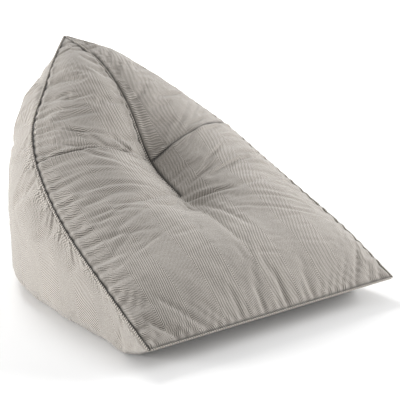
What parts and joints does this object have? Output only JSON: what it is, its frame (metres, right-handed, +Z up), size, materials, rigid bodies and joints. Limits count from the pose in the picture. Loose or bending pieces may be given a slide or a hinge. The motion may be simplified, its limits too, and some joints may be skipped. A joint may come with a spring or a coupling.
{
  "type": "bean bag chair",
  "caption": "Low lounger bean bag with a pointed back and a wide seat: piped twill cover, zipped inner liner and bead filling.",
  "frame": {"origin": "middle of the chair's footprint box, on the floor", "axes": "+Z up, +Y from the front edge towards the peak of the back, +X to the sitter's left"},
  "size_m": [1.0286, 1.2208, 0.7611],
  "materials": {
    "cover_fabric": "matt herringbone twill, warm taupe grey",
    "base_fabric": "matt plain weave, slightly darker than the cover",
    "piping_fabric": "bias-cut twill over a cord",
    "liner_fabric": "matt plain weave, off-white",
    "beads": "matt expanded polystyrene",
    "zip_tape": "matt ribbed tape",
    "zip_teeth": "satin nylon",
    "zip_metal": "dull gunmetal"
  },
  "bodies": {
    "bag": {"back_panel_left": "cover_fabric", "back_panel_right": "cover_fabric", "seat_panel": "cover_fabric", "side_panel_left": "cover_fabric", "side_panel_right": "cover_fabric", "base_panel": "base_fabric", "piping_left": "piping_fabric", "piping_right": "piping_fabric", "piping_centre": "piping_fabric", "piping_front": "piping_fabric", "cover_zip_tape_left": "zip_tape", "cover_zip_tape_right": "zip_tape", "cover_zip_teeth_left": "zip_teeth", "cover_zip_teeth_right": "zip_teeth", "cover_zip_stop_bottom": "zip_metal", "cover_zip_stop_top": "zip_metal", "inner_liner": "liner_fabric", "liner_zip_tape_left": "zip_tape", "liner_zip_tape_right": "zip_tape", "liner_zip_teeth_left": "zip_teeth", "liner_zip_teeth_right": "zip_teeth", "liner_zip_stop_bottom": "zip_metal", "liner_zip_stop_top": "zip_metal", "bead_fill": "beads"},
    "cover_slider": {"cover_zip_slider": "zip_metal"},
    "cover_pull": {"cover_zip_pull": "zip_metal"},
    "liner_slider": {"liner_zip_slider": "zip_metal"}
  },
  "joints": [
    {"name": "cover_zip", "type": "slide", "parent": "bag", "child": "cover_slider", "axis": [0, 0, -1], "range_m": [0, 0.28]},
    {"name": "cover_pull_swing", "type": "hinge", "parent": "cover_slider", "child": "cover_pull", "pos_m": [0, 0.5288, 0.42525], "axis": [1, 0, 0], "range_deg": [0, 160]},
    {"name": "liner_zip", "type": "slide", "parent": "bag", "child": "liner_slider", "axis": [0, 0, -1], "range_m": [0, 0.28]}
  ]
}
